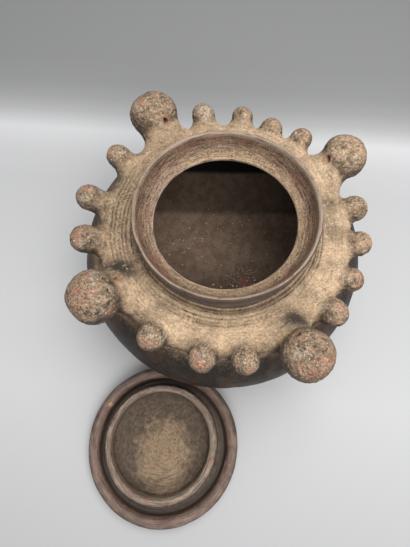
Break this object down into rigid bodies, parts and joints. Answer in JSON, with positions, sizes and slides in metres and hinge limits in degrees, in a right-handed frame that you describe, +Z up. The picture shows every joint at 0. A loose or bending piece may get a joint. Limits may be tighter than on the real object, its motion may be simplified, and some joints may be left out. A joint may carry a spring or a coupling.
{
  "type": "libation jar",
  "caption": "Squat low-fired clay jar with a flared rim, a crown of vented bulb knobs and finger knobs round its shoulder, and a loose ringed lid lying upside down beside it.",
  "frame": {"origin": "middle of the jar's flat base, on the surface it stands on", "axes": "+Z up along the axis of the mouth; the lid lies towards -Y and a little towards -X; +X is to the right as the picture shows it"},
  "size_m": [0.2854, 0.419, 0.1669],
  "materials": {
    "dusty_clay": "matte low-fired clay under a buff dust, with fine turning grooves",
    "burnished_slip": "worn burnished red-brown slip with a soft sheen",
    "gritty_clay": "rough pitted clay with worn orange-red specks",
    "lid_clay": "brown burnished clay with a dusty middle"
  },
  "bodies": {
    "jar": {"jar_body": "dusty_clay", "rim": "burnished_slip", "knob_band": "dusty_clay", "large_knob_1": "gritty_clay", "large_knob_2": "gritty_clay", "large_knob_3": "gritty_clay", "large_knob_4": "gritty_clay", "small_knob_01": "gritty_clay", "small_knob_02": "gritty_clay", "small_knob_03": "gritty_clay", "small_knob_04": "gritty_clay", "small_knob_05": "gritty_clay", "small_knob_06": "gritty_clay", "small_knob_07": "gritty_clay", "small_knob_08": "gritty_clay", "small_knob_09": "gritty_clay", "small_knob_10": "gritty_clay", "small_knob_11": "gritty_clay", "small_knob_12": "gritty_clay", "small_knob_13": "gritty_clay", "small_knob_14": "gritty_clay"},
    "lid": {"lid_plate": "lid_clay", "lid_ring": "lid_clay"}
  },
  "joints": [
    {"name": "lid_lift", "type": "slide", "parent": "jar", "child": "lid", "axis": [-0.1505, -0.5081, 0.848], "range_m": [0, 0.24]}
  ]
}
